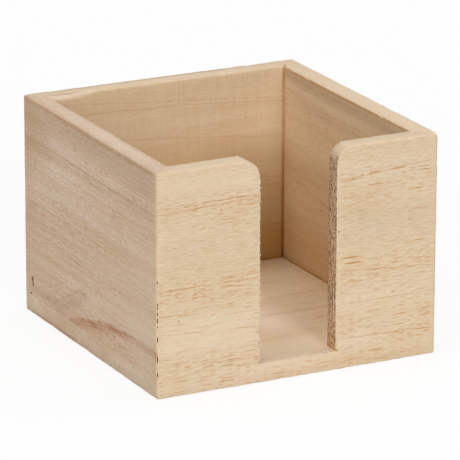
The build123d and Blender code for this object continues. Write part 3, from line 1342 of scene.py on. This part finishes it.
# Bottom board
BOTTOM_PORES = (
    (0, 0.45), (9, 0.16), (30, 0.2), (48, 0.1), (80, 0.2), (110, 0.3),
)
BOTTOM_LINES = (
    Line(-49.2, 0.7, "line", 0.5, slope=0.06, bend=0.003, wander=0.5, feather=0.4, start=-15, end=17),
    # Painted shadow in the left corner of the notch, on the sill.
    Line(-53.5, 1.1, "shade", 0.5, slope=-0.2, start=-18, end=-3),
    Line(24, 0.9, "line", 0.16, wander=0.6, pores=0.3, feather=0.5),
    # Painted light: the floor of the well is made paler near the notch and towards the back, and the front
    # band also reaches the bottom board's front face.
    Line(-42, 20, "pale", 0.7, wander=0.6, feather=0.1),
    Line(38, 24, "pale", 0.9, wander=0.6, feather=0.1),
    Line(-55.5, 1.8, "amber_and_shade", 0.14, wander=0.3, feather=0.2),
)
BOTTOM_SPOTS = (
    Spot((-28, -55, 3.5), (30, 2, 5), "chalk", 0.15),
    Spot((-32, -55, 0.4), (0.5, 1, 0.4), "knot", 0.9, 0.5),
    # Painted shade on the floor of the well, along the right side and towards the back.
    Spot((46.5, 0, WELL_FLOOR), (6, 60, 1.5), "amber_and_shade", 0.28),
    Spot((38, 44, WELL_FLOOR), (34, 16, 2), "amber_and_shade", 0.24),
    Spot((39, 7, WELL_FLOOR), (16, 14, 2), "amber_and_shade", 0.16),
    # Painted light: a pale patch on the floor behind the notch.
    Spot((9, -14, WELL_FLOOR), (20, 20, 2), "chalk", 0.9),
    Spot((34, 7.2, WELL_FLOOR), (26, 2, 2), "line", 0.26, 0.8),
    Spot((18, -9.9, WELL_FLOOR), (34, 2.2, 2), "line", 0.2, 0.8),
    Spot((2, -33, WELL_FLOOR), (34, 3.6, 2), "line", 0.14),
    Spot((-55, 26, 0.5), (1.6, 44, 1.7), "streak", 0.5, 0.8),
    Spot((-55, -32, 0.3), (1.6, 40, 0.9), "streak", 0.3, 0.7),
    Spot((-55, 22, 3), (2, 9, 2.4), "shade", 0.16),
    Spot((-55, -6, 4), (2, 8, 2), "chalk", 0.3),
    Spot((-55, -33, 4.4), (2, 18, 2.4), "chalk", 0.45),
)

WOODS = {
    "front_wood": Wood(
        "front", "end_grain", speckle=1.0, tone=0.7, fibre=0.95, saw_marks=0.0, seed=4.0, along="X",
        pores=FRONT_PORES, lines=FRONT_LINES, spots=FRONT_SPOTS,
    ),
    "back_wood": Wood(
        "back", "end_grain", speckle=0.85, tone=1.3, fibre=0.5, saw_marks=0.26, seed=9.0, along="X",
        pores=BACK_PORES, lines=BACK_LINES, spots=BACK_SPOTS, well_bands=BACK_WELL_SHADE_AND_GLUE,
    ),
    "left_wood": Wood(
        "left", "end_grain", speckle=0.85, tone=1.8, fibre=1.35, saw_marks=0.14, seed=21.0, along="Y",
        pores=LEFT_PORES, lines=LEFT_LINES, spots=LEFT_SPOTS,
    ),
    "right_wood": Wood(
        "right", "end_grain", speckle=0.85, tone=1.5, fibre=0.8, saw_marks=0.06, seed=33.0, along="Y",
        pores=RIGHT_PORES, lines=RIGHT_LINES, spots=RIGHT_SPOTS, well_bands=RIGHT_WELL_SHADE_AND_GLUE,
    ),
    "bottom_wood": Wood(
        "bottom", "bottom_end", speckle=0.18, tone=1.3, fibre=0.7, saw_marks=0.1, seed=47.0, along="X",
        pores=BOTTOM_PORES, lines=BOTTOM_LINES, spots=BOTTOM_SPOTS, flat=True,
    ),
}


# Studio

def seen_by_eye(tree):
    """1 for rays that go to the eye straight, by a reflection or through glass."""
    rays = add_node(tree, "LightPath").outputs
    seen = calc(tree, "MAXIMUM", rays["Is Camera Ray"], rays["Is Glossy Ray"])
    return calc(tree, "MAXIMUM", seen, rays["Is Transmission Ray"])


def mix_shaders(tree, share, first, second):
    """Shader between two shaders."""
    return add_node(tree, "MixShader", {0: share, 1: first, 2: second}).outputs["Shader"]


def floor_material():
    """Pale floor that shows white, with a faint shadow, and that isn't seen from below."""
    material = bpy.data.materials.new("studio_floor")
    tree = cleared_tree(material)
    lit = add_node(tree, "BsdfDiffuse", {"Color": (*studio().floor, 1.0)}).outputs["BSDF"]
    white = add_node(tree, "BsdfDiffuse", {"Color": WHITE}).outputs["BSDF"]
    glow = add_node(tree, "Emission", {"Color": WHITE, "Strength": 1.0}).outputs["Emission"]
    shown = mix_shaders(tree, studio().shadow, glow, white)
    from_above = mix_shaders(tree, seen_by_eye(tree), lit, shown)
    clear = add_node(tree, "BsdfTransparent").outputs["BSDF"]
    under = add_node(tree, "NewGeometry").outputs["Backfacing"]
    add_node(tree, "OutputMaterial", {"Surface": mix_shaders(tree, under, from_above, clear)})
    return material


def make_floor():
    """Round floor, flat and far wider than the view."""
    bm = bmesh.new()
    bmesh.ops.create_circle(bm, cap_ends=True, segments=FLOOR_SEGMENTS, radius=FLOOR_RADIUS)
    mesh = bpy.data.meshes.new("floor")
    bm.to_mesh(mesh)
    bm.free()
    mesh.materials.append(floor_material())
    floor = add_object("floor", mesh)


def make_world():
    """Even light from all round, which shows white."""
    world = bpy.data.worlds.new("studio")
    tree = cleared_tree(world)
    seen = seen_by_eye(tree)
    unseen = calc(tree, "SUBTRACT", 1.0, seen)
    strength = calc(tree, "MULTIPLY_ADD", unseen, studio().surround, seen)
    background = add_node(tree, "Background", {"Color": WHITE, "Strength": strength})
    add_node(tree, "OutputWorld", {"Surface": background.outputs["Background"]})
    bpy.context.scene.world = world


def towards(azimuth, elevation):
    """Direction from the box to an azimuth and elevation. Azimuth 0 is straight in front."""
    flat = math.cos(elevation)
    return Vector((math.sin(azimuth) * flat, -math.cos(azimuth) * flat, math.sin(elevation)))


def make_light(name, share, azimuth, elevation, spread):
    """Soft light from far off, at angles in degrees. Share is the brightness that it gives a white
    surface that faces it."""
    lamp = bpy.data.lights.new(name, "SUN")
    lamp.energy = math.pi * share
    lamp.angle = math.radians(spread)
    light = add_object(name, lamp)
    light.rotation_mode = "QUATERNION"
    place = towards(math.radians(azimuth), math.radians(elevation))
    light.rotation_quaternion = place.to_track_quat("Z", "Y")


def make_camera():
    """Camera at the photograph's viewing angle."""
    data = bpy.data.cameras.new("camera")
    data.lens = studio().lens
    data.sensor_width = SENSOR_WIDTH
    camera = add_object("camera", data)
    back = towards(studio().azimuth, studio().elevation)
    camera.location = Vector(studio().aim) + back * studio().distance
    camera.rotation_mode = "QUATERNION"
    level = (-back).to_track_quat("-Z", "Y")
    camera.rotation_quaternion = level @ Quaternion((0, 0, 1), studio().roll)
    bpy.context.scene.camera = camera


# Operators

class MEMOBOX_OT_wood_effects(bpy.types.Operator):
    """Builds the shared wood effects that every board's material uses"""

    bl_idname = "memo_box.wood_effects"
    bl_label = "Wood effects"

    def execute(self, context):
        build_drift_group()
        build_line_group()
        build_spot_group()
        build_wood_group()
        return {"FINISHED"}


class MEMOBOX_OT_bottom(bpy.types.Operator):
    """Makes the bottom board"""

    bl_idname = "memo_box.bottom"
    bl_label = "Bottom board"

    def execute(self, context):
        make_bottom("bottom_board", wood_material("bottom_wood"))
        return {"FINISHED"}


class MEMOBOX_OT_sides(bpy.types.Operator):
    """Makes the left and right sides"""

    bl_idname = "memo_box.sides"
    bl_label = "Sides"

    def execute(self, context):
        make_wall("left_side", Vector((-1, 0, 0)), LEFT_DENTS, wood_material("left_wood"))
        make_wall("right_side", Vector((1, 0, 0)), RIGHT_DENTS, wood_material("right_wood"))
        return {"FINISHED"}


class MEMOBOX_OT_back(bpy.types.Operator):
    """Makes the back"""

    bl_idname = "memo_box.back"
    bl_label = "Back"

    def execute(self, context):
        make_wall("back_panel", Vector((0, 1, 0)), BACK_DENTS, wood_material("back_wood"))
        return {"FINISHED"}


class MEMOBOX_OT_front_panels(bpy.types.Operator):
    """Makes the two front panels beside the finger notch"""

    bl_idname = "memo_box.front_panels"
    bl_label = "Front panels"

    def execute(self, context):
        wood = wood_material("front_wood")
        make_front_panel("front_left_panel", -1, FRONT_LEFT_DENTS, wood)
        make_front_panel("front_right_panel", 1, NEAR_RIGHT_CORNER_DENTS, wood)
        return {"FINISHED"}


class MEMOBOX_OT_studio(bpy.types.Operator):
    """Sets up the floor, the light and the camera"""

    bl_idname = "memo_box.studio"
    bl_label = "Studio"

    def execute(self, context):
        make_floor()
        make_world()
        make_light("front_light", studio().front, azimuth=-1, elevation=22, spread=20)
        make_light("left_light", studio().left, azimuth=-60, elevation=20, spread=30)
        make_light("upper_left_light", studio().upper_left, azimuth=-90, elevation=60, spread=30)
        make_light("upper_right_light", studio().upper_right, azimuth=90, elevation=60, spread=30)
        make_light("overhead_light", studio().overhead, azimuth=180, elevation=81, spread=34)
        make_camera()
        context.scene.view_settings.view_transform = "Standard"
        return {"FINISHED"}


class MEMOBOX_PT_panel(bpy.types.Panel):
    """Lists the steps that make the memo box"""

    bl_idname = "MEMOBOX_PT_panel"
    bl_label = "Memo Box"
    bl_space_type = "VIEW_3D"
    bl_region_type = "UI"
    bl_category = "Memo Box"

    def draw(self, context):
        scene = context.scene
        for settings in (scene.memo_box_sizes, scene.memo_box_wood, scene.memo_box_studio):
            column = self.layout.column()
            for name in settings.bl_rna.properties.keys():
                if name not in ("rna_type", "name"):
                    column.prop(settings, name)
        for step in STEPS:
            self.layout.operator(step.bl_idname)


STEPS = (
    MEMOBOX_OT_wood_effects,
    MEMOBOX_OT_bottom,
    MEMOBOX_OT_sides,
    MEMOBOX_OT_back,
    MEMOBOX_OT_front_panels,
    MEMOBOX_OT_studio,
)
CLASSES = (MemoBoxSizes, MemoBoxWood, MemoBoxStudio, *STEPS, MEMOBOX_PT_panel)


def register():
    """Adds the classes and the settings."""
    for cls in CLASSES:
        bpy.utils.register_class(cls)
    bpy.types.Scene.memo_box_sizes = PointerProperty(type=MemoBoxSizes)
    bpy.types.Scene.memo_box_wood = PointerProperty(type=MemoBoxWood)
    bpy.types.Scene.memo_box_studio = PointerProperty(type=MemoBoxStudio)


def unregister():
    """Takes the settings and the classes out again."""
    del bpy.types.Scene.memo_box_studio
    del bpy.types.Scene.memo_box_wood
    del bpy.types.Scene.memo_box_sizes
    for cls in reversed(CLASSES):
        bpy.utils.unregister_class(cls)


def main():
    """Makes the box and its studio, step by step."""
    register()
    bpy.ops.memo_box.wood_effects()
    bpy.ops.memo_box.bottom()
    bpy.ops.memo_box.sides()
    bpy.ops.memo_box.back()
    bpy.ops.memo_box.front_panels()
    bpy.ops.memo_box.studio()


if __name__ == "__main__":
    main()
